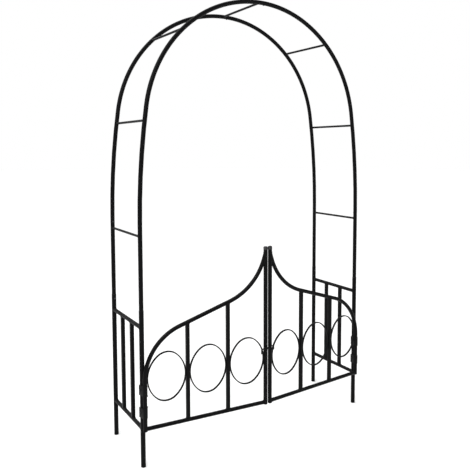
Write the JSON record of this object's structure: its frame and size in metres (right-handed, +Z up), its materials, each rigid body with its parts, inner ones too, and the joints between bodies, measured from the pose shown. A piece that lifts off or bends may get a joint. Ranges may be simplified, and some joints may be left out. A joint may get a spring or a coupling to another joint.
{
  "type": "garden arch with gate",
  "caption": "Round-topped tubular steel garden arch with ladder sides, rungs for climbing plants and a pair of ogee-topped gate leaves with oval rings.",
  "frame": {"origin": "on the ground, in the middle of the room that the whole object takes up", "axes": "+X across the walkway to the right-hand leg, +Y along the walkway from the gate side to the back, +Z up"},
  "size_m": [1.394, 0.4975, 2.301],
  "materials": {
    "black_frame": "black powder coat, semi-gloss",
    "black_rungs": "black powder coat on thin bar, semi-gloss",
    "black_gate": "black powder coat, semi-gloss",
    "black_fittings": "black powder coat, satin where parts rub",
    "plastic_caps": "moulded black plastic",
    "zinc_fasteners": "blackened zinc plate"
  },
  "bodies": {
    "arch_frame": {"post_front_left": "black_frame", "leg_tube_front_left": "black_frame", "arch_tube_front_left": "black_frame", "post_front_right": "black_frame", "leg_tube_front_right": "black_frame", "arch_tube_front_right": "black_frame", "post_back_left": "black_frame", "leg_tube_back_left": "black_frame", "arch_tube_back_left": "black_frame", "post_back_right": "black_frame", "leg_tube_back_right": "black_frame", "arch_tube_back_right": "black_frame", "rung_apex": "black_rungs", "rung_low_left": "black_rungs", "rung_high_left": "black_rungs", "rung_crown_left": "black_rungs", "panel_rail_bottom_left": "black_frame", "panel_rail_top_left": "black_frame", "panel_bar_front_left": "black_frame", "panel_bar_back_left": "black_frame", "hinge_strap_lower_left": "black_fittings", "hinge_strap_upper_left": "black_fittings", "rung_low_right": "black_rungs", "rung_high_right": "black_rungs", "rung_crown_right": "black_rungs", "panel_rail_bottom_right": "black_frame", "panel_rail_top_right": "black_frame", "panel_bar_front_right": "black_frame", "panel_bar_back_right": "black_frame", "hinge_strap_lower_right": "black_fittings", "hinge_strap_upper_right": "black_fittings", "joint_screws": "zinc_fasteners", "hinge_bolts": "zinc_fasteners", "hinge_nuts": "zinc_fasteners"},
    "left_leaf": {"left_leaf_frame_tube": "black_gate", "left_leaf_meeting_stile": "black_gate", "left_leaf_bottom_rail": "black_gate", "left_leaf_rest_pegs": "black_gate", "left_leaf_cap": "plastic_caps", "left_leaf_bar_outer": "black_gate", "left_leaf_bar_inner": "black_gate", "left_leaf_ring_outer": "black_gate", "left_leaf_ring_middle": "black_gate", "left_leaf_ring_inner": "black_gate", "latch_guide": "black_fittings", "latch_stop_screw": "zinc_fasteners"},
    "right_leaf": {"right_leaf_frame_tube": "black_gate", "right_leaf_meeting_stile": "black_gate", "right_leaf_bottom_rail": "black_gate", "right_leaf_rest_pegs": "black_gate", "right_leaf_cap": "plastic_caps", "right_leaf_bar_outer": "black_gate", "right_leaf_bar_inner": "black_gate", "right_leaf_ring_outer": "black_gate", "right_leaf_ring_middle": "black_gate", "right_leaf_ring_inner": "black_gate", "latch_staple": "black_fittings"},
    "latch_bolt": {"latch_bolt": "black_fittings"}
  },
  "joints": [
    {"name": "left_leaf_hinge", "type": "hinge", "parent": "arch_frame", "child": "left_leaf", "pos_m": [-0.6752, -0.16367, 0.195], "axis": [0, 0, -1], "range_deg": [-12, 164]},
    {"name": "right_leaf_hinge", "type": "hinge", "parent": "arch_frame", "child": "right_leaf", "pos_m": [0.6752, -0.16367, 0.195], "axis": [0, 0, 1], "range_deg": [-12, 164]},
    {"name": "latch_slide", "type": "slide", "parent": "left_leaf", "child": "latch_bolt", "axis": [0.9969, -0.0785, 0], "range_m": [0, 0.02]}
  ]
}
